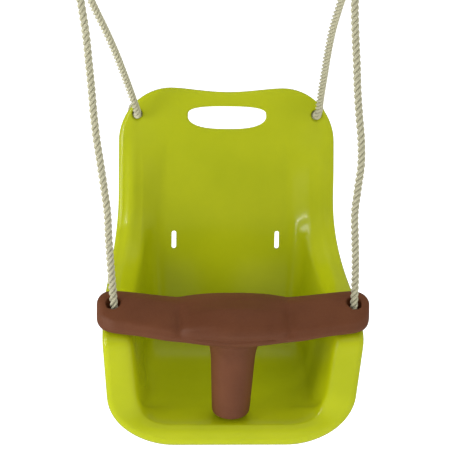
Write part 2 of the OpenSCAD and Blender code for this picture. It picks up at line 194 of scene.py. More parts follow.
def make_camera():
    az, el, roll = CAMERA["azimuth"], CAMERA["elevation"], CAMERA["roll"]
    ahead = Vector((-sind(az) * cosd(el), cosd(az) * cosd(el), -sind(el)))
    right = Vector((cosd(az), sind(az), 0))
    up = right.cross(ahead)
    right, up = right * cosd(roll) + up * sind(roll), up * cosd(roll) - right * sind(roll)
    data = bpy.data.cameras.new("camera")
    data.lens = CAMERA["lens"]
    data.sensor_width = CAMERA["sensor"]
    data.dof.use_dof = False
    camera = bpy.data.objects.new("camera", data)
    turn = Matrix((right, up, -ahead)).transposed().to_4x4()
    camera.matrix_world = Matrix.Translation(Vector(CAMERA["target"]) - ahead * CAMERA["distance"]) @ turn
    bpy.context.scene.collection.objects.link(camera)
    bpy.context.scene.camera = camera


make_camera()


# ---------------------------------------------------------------- material helpers
class Nodes:
    """Adds nodes to a new material, by short calls."""

    def __init__(self, name, **settings):
        self.material = bpy.data.materials.new(name)
        self.material.use_nodes = True
        self.tree = self.material.node_tree
        self.shader = self.tree.nodes["Principled BSDF"]
        for key, value in settings.items():
            self.shader.inputs[key.replace("_", " ")].default_value = value

    def add(self, kind, inputs=None, **settings):
        node = self.tree.nodes.new("ShaderNode" + kind)
        for key, value in settings.items():
            setattr(node, key, value)
        for key, value in (inputs or {}).items():
            if isinstance(value, bpy.types.NodeSocket):
                self.tree.links.new(value, node.inputs[key])
            else:
                node.inputs[key].default_value = value
        return node

    def coordinates(self, scale=(1, 1, 1)):
        place = self.add("TexCoord").outputs["Object"]
        return self.add("Mapping", {"Vector": place, "Scale": scale}).outputs["Vector"]

    def noise(self, place, scale, detail, roughness=0.5, distortion=0.0):
        return self.add("TexNoise", {"Vector": place, "Scale": scale, "Detail": detail,
                                     "Roughness": roughness, "Distortion": distortion}).outputs["Fac"]

    def spread(self, value, low, high, new_low=0.0, new_high=1.0):
        return self.add("MapRange", {"Value": value, "From Min": low, "From Max": high,
                                     "To Min": new_low, "To Max": new_high}).outputs["Result"]

    def blend(self, share, a, b):
        node = self.add("Mix", data_type="RGBA")
        for socket, value in zip((node.inputs[0], node.inputs[6], node.inputs[7]), (share, a, b)):
            if isinstance(value, bpy.types.NodeSocket):
                self.tree.links.new(value, socket)
            else:
                socket.default_value = value
        return node.outputs[2]

    def math(self, how, a, b=0.0):
        return self.add("Math", {0: a, 1: b}, operation=how).outputs[0]

    def bump(self, height, strength, distance, under=None):
        node = self.add("Bump", {"Height": height, "Strength": strength, "Distance": distance})
        if under is not None:
            self.tree.links.new(under, node.inputs["Normal"])
        return node.outputs["Normal"]

    def link(self, socket, name):
        self.tree.links.new(socket, self.shader.inputs[name])


def rgb(r, g, b):
    """A linear colour."""
    return (r, g, b, 1.0)


# ---------------------------------------------------------------- materials
def shell_plastic():
    """Glossy moulded lime polyethylene: faint mottling, an uneven skin, and fine scuffs."""
    m = Nodes("lime_plastic", Specular_IOR_Level=0.4, Coat_Weight=0.15, Coat_Roughness=0.06)
    deep, bright, grain_green = rgb(0.37, 0.415, 0.003), rgb(0.42, 0.46, 0.005), rgb(0.30, 0.36, 0.004)
    place = m.coordinates()
    cloud = m.noise(place, scale=9.0, detail=4.0)
    grain = m.noise(place, scale=140.0, detail=2.0)
    colour = m.blend(m.spread(cloud, 0.35, 0.65), deep, bright)
    colour = m.blend(m.spread(grain, 0.3, 0.7, new_high=0.08), colour, grain_green)
    m.link(colour, "Base Color")
    upright = m.coordinates((1, 1, 14))
    scuffs = m.noise(upright, scale=60.0, detail=6.0, roughness=0.7, distortion=0.6)
    m.link(m.spread(scuffs, 0.45, 0.8, new_low=0.17, new_high=0.30), "Roughness")
    waves = m.bump(m.noise(place, scale=22.0, detail=2.0), strength=0.12, distance=0.0012)
    specks = m.noise(place, scale=420.0, detail=2.0)
    m.link(m.bump(specks, strength=0.05, distance=0.0002, under=waves), "Normal")
    return m.material


def bar_plastic():
    """Matte brown plastic with the fine leather-like grain of a textured mould."""
    m = Nodes("brown_plastic", Specular_IOR_Level=0.25)
    dark, light, worn = rgb(0.100, 0.030, 0.010), rgb(0.132, 0.042, 0.015), rgb(0.165, 0.060, 0.026)
    place = m.coordinates()
    cloud = m.noise(place, scale=14.0, detail=5.0, roughness=0.6)
    cells = m.add("TexVoronoi", {"Vector": place, "Scale": 620.0}, feature="SMOOTH_F1")
    cells.inputs["Smoothness"].default_value = 0.6
    pits = cells.outputs["Distance"]
    speckle = m.noise(place, scale=900.0, detail=2.0)
    colour = m.blend(m.spread(cloud, 0.3, 0.7), dark, light)
    colour = m.blend(m.spread(speckle, 0.45, 0.75, new_high=0.35), colour, worn)
    m.link(colour, "Base Color")
    m.link(m.spread(cloud, 0.3, 0.7, new_low=0.50, new_high=0.62), "Roughness")
    grain = m.bump(pits, strength=0.35, distance=0.0004)
    m.link(m.bump(speckle, strength=0.2, distance=0.0002, under=grain), "Normal")
    return m.material


def rope_fibre():
    """Twisted polypropylene yarns that run along each strand.

    The UV map gives the way across the strands, one unit a strand, and the way along the rope in lays.
    """
    m = Nodes("rope_fibre", Roughness=0.72, Specular_IOR_Level=0.3, Sheen_Weight=0.25, Sheen_Roughness=0.5)
    # the last colour is painted shade for the grooves between the strands
    between, yarn, faded, groove_shade = (rgb(0.38, 0.355, 0.22), rgb(0.66, 0.645, 0.46), rgb(0.46, 0.43, 0.28),
                                  rgb(0.17, 0.155, 0.085))
    yarns_per_strand, lean = 9.0, 5.0
    uv = m.add("SeparateXYZ", {"Vector": m.add("UVMap", uv_map="strand").outputs["UV"]})
    across, along = uv.outputs["X"], uv.outputs["Y"]
    turn = m.math("ADD", m.math("MULTIPLY", across, yarns_per_strand), m.math("MULTIPLY", along, lean))
    yarns = m.math("SINE", m.math("MULTIPLY", turn, 2 * math.pi))
    fuzz = m.noise(m.coordinates(), scale=900.0, detail=3.0)
    fade = m.noise(m.coordinates(), scale=26.0, detail=3.0)
    colour = m.blend(m.spread(yarns, -1.0, 1.0), between, yarn)
    colour = m.blend(m.spread(fade, 0.35, 0.7, new_high=0.35), colour, faded)
    # painted shade: the grooves between the strands are darkened, where shade falls; the way across is a
    # whole number there
    groove = m.math("ABSOLUTE", m.math("SUBTRACT", m.math("FRACT", across), 0.5))
    colour = m.blend(m.spread(groove, 0.25, 0.5, new_high=0.75), colour, groove_shade)
    m.link(colour, "Base Color")
    ribs = m.bump(yarns, strength=0.6, distance=0.0003)
    m.link(m.bump(fuzz, strength=0.4, distance=0.0002, under=ribs), "Normal")
    return m.material


def black_nylon():
    """Satin nylon with faint flow marks and rubbed spots."""
    m = Nodes("black_nylon", Specular_IOR_Level=0.5)
    black, grey = rgb(0.010, 0.010, 0.011), rgb(0.030, 0.030, 0.032)
    place = m.coordinates()
    flow = m.noise(m.coordinates((1, 1, 5)), scale=60.0, detail=4.0)
    m.link(m.blend(m.spread(flow, 0.4, 0.7), black, grey), "Base Color")
    rubbed = m.noise(place, scale=180.0, detail=3.0)
    m.link(m.spread(rubbed, 0.3, 0.7, new_low=0.32, new_high=0.5), "Roughness")
    m.link(m.bump(m.noise(place, scale=500.0, detail=3.0), strength=0.25, distance=0.0002), "Normal")
    return m.material


def zinc_steel():
    """Zinc-plated steel: cloudy plating and a few dull spots."""
    m = Nodes("zinc_steel", Metallic=1.0)
    grey, pale, dull = rgb(0.62, 0.63, 0.65), rgb(0.78, 0.79, 0.80), rgb(0.36, 0.36, 0.37)
    place = m.coordinates()
    cloud = m.noise(place, scale=55.0, detail=5.0, roughness=0.6)
    spots = m.noise(place, scale=260.0, detail=3.0)
    colour = m.blend(m.spread(cloud, 0.35, 0.65), grey, pale)
    m.link(m.blend(m.spread(spots, 0.62, 0.75, new_high=0.6), colour, dull), "Base Color")
    m.link(m.spread(cloud, 0.3, 0.7, new_low=0.24, new_high=0.42), "Roughness")
    m.link(m.bump(spots, strength=0.12, distance=0.0002), "Normal")
    return m.material


LIME = shell_plastic()
BROWN = bar_plastic()
FIBRE = rope_fibre()
NYLON = black_nylon()
ZINC = zinc_steel()


def dress(piece, material):
    """Gives a piece one material."""
    piece.data.materials.clear()
    piece.data.materials.append(material)


# Recline of the back from upright, in degrees: the back knots' ends point out at a right angle to it.
RECLINE = 15

# ---------------------------------------------------------------- ropes
# Routes in millimetres, from the back knot over the thimble to the front knot, as the CAD part has them.
# The loop is the same on both sides, so its points give y and z only.
LOOP = [(5.5, -115), (5.5, -102), (5.5, -90), (6.5, -82), (9.5, -76), (13, -70.5), (17.5, -64.5),
        (20.5, -58.5), (21, -51.5), (18, -42), (10.5, -34.5), (0, -31.7), (-10.5, -34.5),
        (-18, -42), (-21, -51.5), (-20.5, -58.5), (-17.5, -64.5), (-13, -70.5), (-9.5, -76),
        (-6.5, -82), (-5.5, -90), (-5.5, -102), (-5.5, -115)]
BACK_LEFT = [(-117, 189.5, -394), (-117, 184, -392.5), (-117, 179.5, -391), (-117, 175.5, -390),
             (-117, 170, -388.5), (-117, 166, -387), (-117, 162, -384.5), (-117, 159, -381.5),
             (-117.5, 157, -378.5), (-126, 137.5, -345), (-135.5, 117, -310),
             (-145.5, 96.5, -275), (-157, 76.5, -240), (-169.5, 56, -205), (-181, 35.5, -170),
             (-189, 18, -140), (-192.5, 7, -121.5)]
FRONT_LEFT = [(-192, -7, -121.5), (-188.5, -12.5, -150), (-183.5, -18, -180), (-179, -23.5, -210),
              (-176, -29, -240), (-173, -34.5, -270), (-170.5, -40, -300), (-167, -45.5, -330),
              (-162.5, -51, -360), (-158, -56.5, -390), (-154, -62, -420), (-152.5, -67.5, -450),
              (-150.5, -73, -480), (-148, -78.5, -510), (-146, -83, -535), (-145.5, -88, -562),
              (-144.5, -87, -574), (-144, -87, -581.5)]
BACK_RIGHT = [(117, 189.5, -394), (117, 184, -392.5), (117, 179.5, -391), (117, 175.5, -390),
              (117, 170, -388.5), (117, 166, -387), (117, 162, -384.5), (117, 159, -381.5),
              (117.5, 157, -378.5), (117.5, 137.5, -345), (118, 117, -310),
              (118.5, 96.5, -275), (120, 76.5, -240), (123.5, 56, -205), (128.5, 35.5, -170),
              (132, 18, -140), (133.5, 7, -121.5)]
FRONT_RIGHT = [(134, -7, -121.5), (134.5, -12.5, -150), (135.5, -18, -180), (137.5, -23.5, -210),
               (140, -29, -240), (142, -34.5, -270), (145, -40, -300), (148.5, -45.5, -330),
               (149.5, -51, -360), (146.5, -56.5, -390), (144, -62, -420), (145.5, -67.5, -450),
               (147, -73, -480), (147.5, -78.5, -510), (147, -83, -535), (146, -88, -562),
               (144.5, -87, -574), (144, -87, -581.5)]
# The point of the back route where the rope leaves its hole in the back.
ROPE_D = 10
ROPE_LAY = 22
STRANDS = 3
STRAND_R = ROPE_D / 2 / (1 + 2 / math.sqrt(3))
# The grooves between the strands stay at least this share of the rope's radius from its middle.
LEAST_SHARE = 0.56
SIDES_PER_STRAND = 10
ROPE_STEP = 1.6
RING_X = {"left": -193, "right": 134}
# A stopper knot: its ball, the rope end beyond it, and the thinner rope that is wound round its core.
KNOT_R, TAIL, CORE_STEP = 13.0, 14, 1.5
WRAP_R, WRAP_SCALE, WRAP_TURNS, WRAP_HALF, WRAP_STEPS = 8.3, 0.86, 2.4, 7.6, 90
TUCK_SHARE, TUCK_R = 0.09, 0.25
# The end of the rope swells a little where it is sealed.
SEAL_LEN, SEAL_SCALE = 1.2, 1.06


def smooth_route(points, step):
    """Points every step or so along a centripetal Catmull-Rom curve."""
    p = [np.array(q, float) for q in points]
    p = [2 * p[0] - p[1]] + p + [2 * p[-1] - p[-2]]
    out = []
    for a, b, c, d in zip(p, p[1:], p[2:], p[3:]):
        t1 = math.sqrt(np.linalg.norm(b - a))
        t2 = t1 + math.sqrt(np.linalg.norm(c - b))
        t3 = t2 + math.sqrt(np.linalg.norm(d - c))
        count = max(1, round(np.linalg.norm(c - b) / step))
        for i in range(count):
            t = t1 + (t2 - t1) * i / count
            ab = a * (t1 - t) / t1 + b * t / t1
            bc = b * (t2 - t) / (t2 - t1) + c * (t - t1) / (t2 - t1)
            cd = c * (t3 - t) / (t3 - t2) + d * (t - t2) / (t3 - t2)
            abc = ab * (t2 - t) / t2 + bc * t / t2
            bcd = bc * (t3 - t) / (t3 - t1) + cd * (t - t1) / (t3 - t1)
            out.append(abc * (t2 - t) / (t2 - t1) + bcd * (t - t1) / (t2 - t1))
    return out + [p[-2]]


def strand_radius(angle, scale):
    """Radius of three round strands that touch, at an angle in radians from the nearest strand's middle."""
    centre = ROPE_D / 2 - STRAND_R
    inside = max(STRAND_R ** 2 - (centre * math.sin(angle)) ** 2, 0)
    return scale * max(centre * math.cos(angle) + math.sqrt(inside), LEAST_SHARE * ROPE_D / 2)


def laid_rope(route, scale=1.0):
    """Points in mm, faces and UVs of a laid three-strand rope along a fine route."""
    n = STRANDS * SIDES_PER_STRAND
    points, uvs, faces = [], [], []
    run = 0.0
    side = None
    for i, place in enumerate(route):
        ahead = unit(route[min(i + 1, len(route) - 1)] - route[max(i - 1, 0)])
        if side is None:
            side = unit(np.cross(ahead, [0.31, 0.95, 0.05]))
        side = unit(side - ahead * np.dot(side, ahead))
        over = np.cross(ahead, side)
        if i:
            run += np.linalg.norm(place - route[i - 1])
        twist = 2 * math.pi * run / ROPE_LAY
        for j in range(n):
            local = 2 * math.pi * (j % SIDES_PER_STRAND) / n - math.pi / STRANDS
            angle = 2 * math.pi * j / n - math.pi / STRANDS
            r = strand_radius(local, scale)
            points.append(place + r * (math.cos(angle + twist) * side + math.sin(angle + twist) * over))
            uvs.append((j / SIDES_PER_STRAND, run / ROPE_LAY))
    for k in range(len(route) - 1):
        faces += [tuple(reversed(f)) for f in strip(k * n, (k + 1) * n, n)]
    faces.append(tuple(range(n)))
    last = (len(route) - 1) * n
    faces.append(tuple(last + i for i in reversed(range(n))))
    return points, faces, uvs


def rope_object(name, parts):
    """One mesh in metres from the points, faces and UVs of one or more ropes."""
    points, faces, uvs = [], [], []
    for p, f, u in parts:
        faces += [tuple(i + len(points) for i in face) for face in f]
        points += [q * MM for q in p]
        uvs += u
    piece = mesh_object(name, points, faces)
    layer = piece.data.uv_layers.new(name="strand")
    for loop in piece.data.loops:
        layer.data[loop.index].uv = uvs[loop.vertex_index]
    fix_normals(piece)
    dress(piece, FIBRE)
    return piece


def stopper_knot(name, node, down):
    """Rope wound round itself over two and a bit turns, with its end coming out of the far side."""
    low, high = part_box(node)
    down = unit(np.array(down, float))
    centre = np.array((low + high) / 2) / MM - down * TAIL / 2
    side = unit(np.cross(down, [1, 0.2, 0.1]))
    over = np.cross(down, side)
    wraps = []
    for i in range(WRAP_STEPS + 1):
        share = i / WRAP_STEPS
        r = WRAP_R * mix(TUCK_R, 1, ease(min(share, 1 - share) / TUCK_SHARE))
        angle = 2 * math.pi * WRAP_TURNS * share
        along = mix(-WRAP_HALF, WRAP_HALF, share)
        wraps.append(centre + down * along + r * (math.cos(angle) * side + math.sin(angle) * over))
    core = [centre + down * s for s in np.arange(-KNOT_R + 1, KNOT_R + TAIL + 0.01, CORE_STEP)]
    end = [core[-1], core[-1] + down * SEAL_LEN]
    piece = rope_object(name, [laid_rope(wraps, WRAP_SCALE), laid_rope(core), laid_rope(end, SEAL_SCALE)])
    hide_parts(node)
    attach(piece, "seat")
    return piece


def rope_piece(side, back, front):
    """One rope with its two knots."""
    route = smooth_route(back + [(RING_X[side], y, z) for y, z in LOOP] + front, ROPE_STEP)
    piece = rope_object("laid_rope_" + side, [laid_rope(route)])
    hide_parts("rope_" + side)
    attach(piece, "seat")
    knots = [stopper_knot("tied_back_knot_" + side, "back_knot_" + side, (0, cosd(RECLINE), -sind(RECLINE))),
             stopper_knot("tied_front_knot_" + side, "front_knot_" + side, (0, 0, -1))]


rope_piece("left", BACK_LEFT, FRONT_LEFT)
rope_piece("right", BACK_RIGHT, FRONT_RIGHT)

for hand in ("left", "right"):
    dress(NODES["rope_clamp_" + hand], NYLON)
    dress(NODES["thimble_" + hand], NYLON)
    dress(NODES["hanging_ring_" + hand], ZINC)

# ---------------------------------------------------------------- the seat's own frame
# The seat's sizes, in millimetres, with f forwards, t and n along and out of the tilted opening.
HANG_H, HANG_FRONT = 697, 185
BACK_HALF, ARM_HALF, BACK_H, ARM_H, SEAT_DEPTH = 141, 160, 343, 135, 292
FLOOR_RISE, FLOOR_FRONT, LIP_DROP, WALL = 6, 11, 20, 4.5
FLANGE_W, EDGE_ROLL, EDGE_SKIRT, BACK_BEAD = 28, 8, 3, 14
TOP_CORNER, FOOT_CORNER, TOP_DIP, TILT = 68, 80, 5, 40
TOP_SQUASH, FOOT_SQUASH, INSET_TOP, INSET_FOOT = 0.95, 0.66, 0.9, cosd(TILT)
BROW_R, TOE_R, BAND, BAND_DEEP, DEEP = 12, 26, 36, 50, 120
BEAD_START, BEAD_RUN, WIDEN_TOP, WIDEN_RUN, FOOT_TAPER, TAPER_TOP, TAPER_RUN = 30, 90, 135, 195, 10, -90, 110
DIP_HALF, DIP_FADE, LEAST_TOP_R, LEAST_FOOT_R, CORNER_BLEND = 75, 24, 18, 24, 10
FLOOR_BLEND, ARM_BLEND, FRONT_BLEND, LIP_BLEND = 70, 100, 30, 34
# The flange is crowned beside the back, and flat under the bar: below CROWN_START the crown is gone.
CROWN, CROWN_START, CROWN_RUN = 3.5, -20, 45
T_TOP = BACK_H * cosd(TILT)
T_FOOT = -SEAT_DEPTH * sind(TILT) - LIP_DROP * cosd(TILT)


def at_seat(x, f, z):
    """A point of the seat's frame, in millimetres, as a point of the model, in metres."""
    return np.array([x, HANG_FRONT - f, z - HANG_H]) * MM


# ---------------------------------------------------------------- seat shell
TOP_STEPS, CORNER_STEPS, SIDE_STEPS, FOOT_CORNER_STEPS, FOOT_STEPS = 12, 16, 66, 20, 12
HALF_STEPS = TOP_STEPS + CORNER_STEPS + SIDE_STEPS + FOOT_CORNER_STEPS + FOOT_STEPS
RING_N = 2 * HALF_STEPS
ROLL_STEPS, FLAT_STEPS, BROW_STEPS, SLOPE_STEPS, TOE_STEPS, BED_STEPS = 8, 5, 8, 6, 12, 8
EDGE_STEPS = 5
BED_END = 116
# Passes that ease the bends across the wall, and the ring where they start. They work in full on the
# bucket, and fall to the share SOFTEN_BACK up the back, from SOFTEN_T over SOFTEN_RUN.
SOFTEN, SOFTEN_FROM, SOFTEN_BACK, SOFTEN_T, SOFTEN_RUN = 14, ROLL_STEPS + 5, 0.35, 10, 60
# Openings in the back panel, by their distance below its top or their height above the floor.
GRIP_DROP, GRIP_HALF, GRIP_TOP, GRIP_BOTTOM, GRIP_STEPS = 39, 51, 13.5, 16, 96
# Powers of the grip's outline: its ends, its flatter top, and its bowed lower edge.
GRIP_END_POWER, GRIP_TOP_POWER, GRIP_LOW_POWER = 2.8, 3.7, 2.1
HOLE_R, BACK_HOLE_X, BACK_HOLE_DROP = 6.5, 117, 36
SLOT_X, SLOT_Z, SLOT_W, SLOT_LEN = 68, 146, 6, 24
# Rope holes in the flange, just under the bar's bores.
FLANGE_HOLE_X, FLANGE_HOLE_F = 145.5, 273.4
CUT_HALF, HOLE_STEP, RIM_SIDES, EDGE_ANGLE = 20, 8, 16, 35
# A rim is this much thinner than the wall on each side, so that the two skins don't lie in one place.
RIM_UNDER = 0.01


def inner_n(t):
    """The bucket's inside seen from the side: n of the back, the floor and the front lip at a place t."""
    back = (BACK_H * sind(RECLINE) + t * sind(TILT - RECLINE)) / cosd(TILT - RECLINE)
    floor = (FLOOR_FRONT * cosd(FLOOR_RISE) - SEAT_DEPTH * sind(FLOOR_RISE)
             - t * cosd(TILT - FLOOR_RISE)) / sind(TILT - FLOOR_RISE)
    front = (SEAT_DEPTH + t * sind(TILT)) / cosd(TILT)
    return smooth_min(smooth_max(back, floor, FLOOR_BLEND), front, LIP_BLEND)


def flange_n(t):
    """The flange seen from the side: n along the back, the arms and the front at a place t."""
    back = (BACK_H * sind(RECLINE) + t * sind(TILT - RECLINE)) / cosd(TILT - RECLINE)
    bead = BACK_BEAD * ease((T_TOP - BEAD_START - t) / BEAD_RUN)
    arm = (ARM_H - t * cosd(TILT)) / sind(TILT)
    front = (SEAT_DEPTH + t * sind(TILT)) / cosd(TILT)
    return smooth_min(smooth_max(back + bead, arm, ARM_BLEND), front, FRONT_BLEND)


def half_at(t):
    """Half the width of the shell at a place t."""
    return (BACK_HALF + (ARM_HALF - BACK_HALF) * ease((WIDEN_TOP - t) / WIDEN_RUN)
            - FOOT_TAPER * clamp01((TAPER_TOP - t) / TAPER_RUN))


def outline(i, d):
    """A point of half the outline, drawn in by d: x, t, and the share of the flange that is kept."""
    r_top = smooth_max(TOP_CORNER - d, LEAST_TOP_R, CORNER_BLEND)
    r_foot = smooth_max(FOOT_CORNER - d, LEAST_FOOT_R, CORNER_BLEND)
    t_hi, t_lo = T_TOP - d * INSET_TOP, T_FOOT + d * INSET_FOOT
    side_hi, side_lo = t_hi - r_top * TOP_SQUASH, t_lo + r_foot * FOOT_SQUASH
    i1 = TOP_STEPS
    i2 = i1 + CORNER_STEPS
    i3 = i2 + SIDE_STEPS
    i4 = i3 + FOOT_CORNER_STEPS
    if i <= i1:
        x = (half_at(t_hi) - d - r_top) * i / TOP_STEPS
        return x, t_hi - TOP_DIP * (1 - clamp01(x / DIP_HALF) ** 2) ** 2 * clamp01(1 - d / DIP_FADE), 1
    if i <= i2:
        a = 90 * (i - i1) / CORNER_STEPS
        t = side_hi + r_top * TOP_SQUASH * cosd(a)
        return half_at(t) - d - r_top * (1 - sind(a)), t, 1
    if i <= i3:
        t = mix(side_hi, side_lo, (i - i2) / SIDE_STEPS)
        return half_at(t) - d, t, 1
    if i <= i4:
        a = 90 * (i - i3) / FOOT_CORNER_STEPS
        t = side_lo - r_foot * FOOT_SQUASH * sind(a)
        return half_at(t) - d - r_foot * (1 - cosd(a)), t, cosd(a) ** 2
    return (half_at(t_lo) - d - r_foot) * (HALF_STEPS - i) / FOOT_STEPS, t_lo, 0


def ring_list():
    """Every ring of the skin, from the skirt to the seat bed, as (kind, share)."""
    rings = [("skirt", 0.0)]
    rings += [("roll", i / ROLL_STEPS) for i in range(ROLL_STEPS + 1)]
    rings += [("flat", i / FLAT_STEPS) for i in range(1, FLAT_STEPS + 1)]
    rings += [("brow", i / BROW_STEPS) for i in range(1, BROW_STEPS + 1)]
    rings += [("slope", i / SLOPE_STEPS) for i in range(1, SLOPE_STEPS)]
    rings += [("toe", i / TOE_STEPS) for i in range(TOE_STEPS + 1)]
    rings += [("bed", i / BED_STEPS) for i in range(1, BED_STEPS + 1)]
    return rings


def wall_section(kind, share, drop):
    """The wall between the flange and the bed, an arc, a straight and an arc: (inset, share of the drop)."""
    h = max(drop, 2)
    band = mix(BAND, BAND_DEEP, ease(h / DEEP))
    rise = h - BROW_R - TOE_R
    slope = math.degrees(math.atan2(rise, band) + math.asin((BROW_R + TOE_R) / math.hypot(band, rise)))
    if kind == "flat":
        return 0.0, 0.0
    if kind == "brow":
        a = slope * share
        return BROW_R * sind(a), BROW_R * (1 - cosd(a)) / h
    if kind == "slope":
        a, b = wall_section("brow", 1, drop), wall_section("toe", 0, drop)
        return mix(a[0], b[0], share), mix(a[1], b[1], share)
    a = slope * (1 - share) if kind == "toe" else 0
    return band - TOE_R * sind(a), 1 - TOE_R * (1 - cosd(a)) / h


def crown(t, across):
    """Height of the flange's rounded top at a share of the way across it; it is flat where the bar rests."""
    clear_of_bar = ease((t - CROWN_START) / CROWN_RUN)
    below_top = ease((T_TOP - BEAD_START - t) / BEAD_RUN)
    return CROWN * clear_of_bar * below_top * sind(180 * across)


def skin_point(kind, share, i):
    """A point (x, f, z) of the upper skin, from its ring's kind and share and its place round the ring."""
    side, j = (1, i) if i <= HALF_STEPS else (-1, RING_N - i)
    base = outline(j, FLANGE_W)
    drop = (flange_n(base[1]) - inner_n(base[1])) * base[2]
    fall, edge = 0.0, 0.0
    if kind == "skirt":
        inset, edge = 0.0, EDGE_ROLL + EDGE_SKIRT
    elif kind == "roll":
        inset, edge = EDGE_ROLL * (1 - cosd(90 * share)), EDGE_ROLL * (1 - sind(90 * share))
    elif kind == "flat":
        inset = mix(EDGE_ROLL, FLANGE_W, share)
        edge = -crown(base[1], share)
    else:
        inset, fall = wall_section(kind, share, drop)
        inset += FLANGE_W
        if kind == "bed":
            inset = mix(inset, BED_END, share)
    x, t, kept = outline(j, inset)
    low = inner_n(t)
    n = mix(mix(low, flange_n(t), kept), low, fall) - edge
    return np.array([side * x, n * cosd(TILT) - t * sind(TILT), n * sind(TILT) + t * cosd(TILT)])


def shell_skins():
    """The upper skin, and the lower one a wall's thickness under it."""
    upper = np.array([[skin_point(kind, share, i) for i in range(RING_N)] for kind, share in ring_list()])
    heights = [outline(min(i, RING_N - i), FLANGE_W)[1] for i in range(RING_N)]
    weight = np.array([mix(1, SOFTEN_BACK, ease((t - SOFTEN_T) / SOFTEN_RUN)) for t in heights])[:, None]
    for _ in range(SOFTEN):
        upper[SOFTEN_FROM:-1] += weight * (upper[SOFTEN_FROM - 1:-2] + upper[SOFTEN_FROM + 1:]
                                           - 2 * upper[SOFTEN_FROM:-1]) / 4
    inward = np.empty_like(upper)
    inward[1:-1] = upper[2:] - upper[:-2]
    inward[0], inward[-1] = upper[1] - upper[0], upper[-1] - upper[-2]
    around = np.roll(upper, -1, axis=1) - np.roll(upper, 1, axis=1)
    normal = np.cross(around, inward)
    normal /= np.linalg.norm(normal, axis=2)[:, :, None]
    return upper, upper - WALL * normal, normal


def bed_faces(a):
    """Closes the last ring: a face at each end, and rungs between its two sides."""
    ends = TOP_STEPS + 1
    faces = [tuple(a + i % RING_N for i in range(-ends, ends + 1))]
    for i in range(ends, HALF_STEPS - FOOT_STEPS - 1):
        faces.append((a + i, a + i + 1, a + RING_N - i - 1, a + RING_N - i))
    faces.append(tuple(a + i for i in range(HALF_STEPS - FOOT_STEPS - 1, HALF_STEPS + FOOT_STEPS + 2)))
    return faces


def shell_blank():
    """The shell's closed skin, before its openings are cut."""
    upper, lower, normal = shell_skins()
    rings = len(upper)
    faces = []
    for k in range(rings - 1):
        faces += strip(k * RING_N, (k + 1) * RING_N, RING_N)
    faces += bed_faces((rings - 1) * RING_N)
    start = rings * RING_N
    faces += [tuple(start + i for i in reversed(face)) for face in list(faces)]
    points = list(upper.reshape(-1, 3)) + list(lower.reshape(-1, 3))
    # the skirt's lower edge is rounded over, from the upper skin to the lower one
    downward = upper[0] - upper[1]
    downward /= np.linalg.norm(downward, axis=1)[:, None]
    before = 0
    for s in range(1, EDGE_STEPS):
        a = math.pi * s / EDGE_STEPS
        turned = math.cos(a) * normal[0] + math.sin(a) * downward
        ring = upper[0] - WALL / 2 * normal[0] + WALL / 2 * turned
        faces += [tuple(reversed(f)) for f in strip(before, len(points), RING_N)]
        before = len(points)
        points += list(ring)
    faces += [tuple(reversed(f)) for f in strip(before, start, RING_N)]
    return mesh_object("moulded_shell", [at_seat(*p) for p in points], faces)


def on_back(drop):
    """A place on the back panel, with its axes: across, up the panel, and out of it towards the child."""
    place = at_seat(0, drop * tand(RECLINE), BACK_H - drop)
    return place, np.array([0, sind(RECLINE), cosd(RECLINE)]), np.array([0, -cosd(RECLINE), sind(RECLINE)])


def panel_outline(x, drop, shape):
    """Points round an opening in the back panel; shape gives (across, up) in millimetres."""
    place, up, out = on_back(drop)
    return [place + np.array([(x + a) * MM, 0, 0]) + up * b * MM for a, b in shape], out


def prism(name, points, out, half):
    """A straight cutter through a closed outline."""
    rings = [[p + out * side * half * MM for p in points] for side in (-1, 1)]
    piece = loft(name, rings)
    fix_normals(piece)
    return piece


def stadium(width, height, steps=12):
    """The outline of a slot with round ends."""
    r = min(width, height) / 2
    points = []
    for quarter, (sx, sy) in enumerate(((1, 1), (-1, 1), (-1, -1), (1, -1))):
        for i in range(steps + 1):
            a = 90 * (quarter + i / steps)
            points.append((sx * (width / 2 - r) + r * cosd(a), sy * (height / 2 - r) + r * sind(a)))
    return [p for i, p in enumerate(points) if math.dist(p, points[i - 1]) > 0.01]


def grip_shape(grow):
    """The grip opening: nearly flat along the top, round ends, and a shallow bowed lower edge."""
    points = []
    for i in range(GRIP_STEPS):
        a = 2 * math.pi * i / GRIP_STEPS
        c, s = math.cos(a), math.sin(a)
        height, power = (GRIP_TOP, GRIP_TOP_POWER) if s > 0 else (GRIP_BOTTOM, GRIP_LOW_POWER)
        points.append(((GRIP_HALF + grow) * math.copysign(abs(c) ** (2 / GRIP_END_POWER), c),
                       (height + grow) * math.copysign(abs(s) ** (2 / power), s)))
    return points


def circle(r):
    """The outline of a round hole."""
    return [(r * cosd(a), r * sind(a)) for a in range(0, 360, HOLE_STEP)]


def round_rim(name, points, out, radius):
    """A round bead along an opening's edge, which makes the cut edge of the wall full round."""
    ring_points, faces = [], []
    for i, p in enumerate(points):
        ahead = unit(points[(i + 1) % len(points)] - points[i - 1])
        across = unit(np.cross(ahead, out))
        for j in range(RIM_SIDES):
            a = 2 * math.pi * j / RIM_SIDES
            turned = math.cos(a) * across + math.sin(a) * out
            ring_points.append(p - out * WALL / 2 * MM + radius * MM * turned)
        faces += strip(i * RIM_SIDES, (i + 1) % len(points) * RIM_SIDES, RIM_SIDES)
    rim = mesh_object(name, ring_points, faces)
    fix_normals(rim)
    return rim


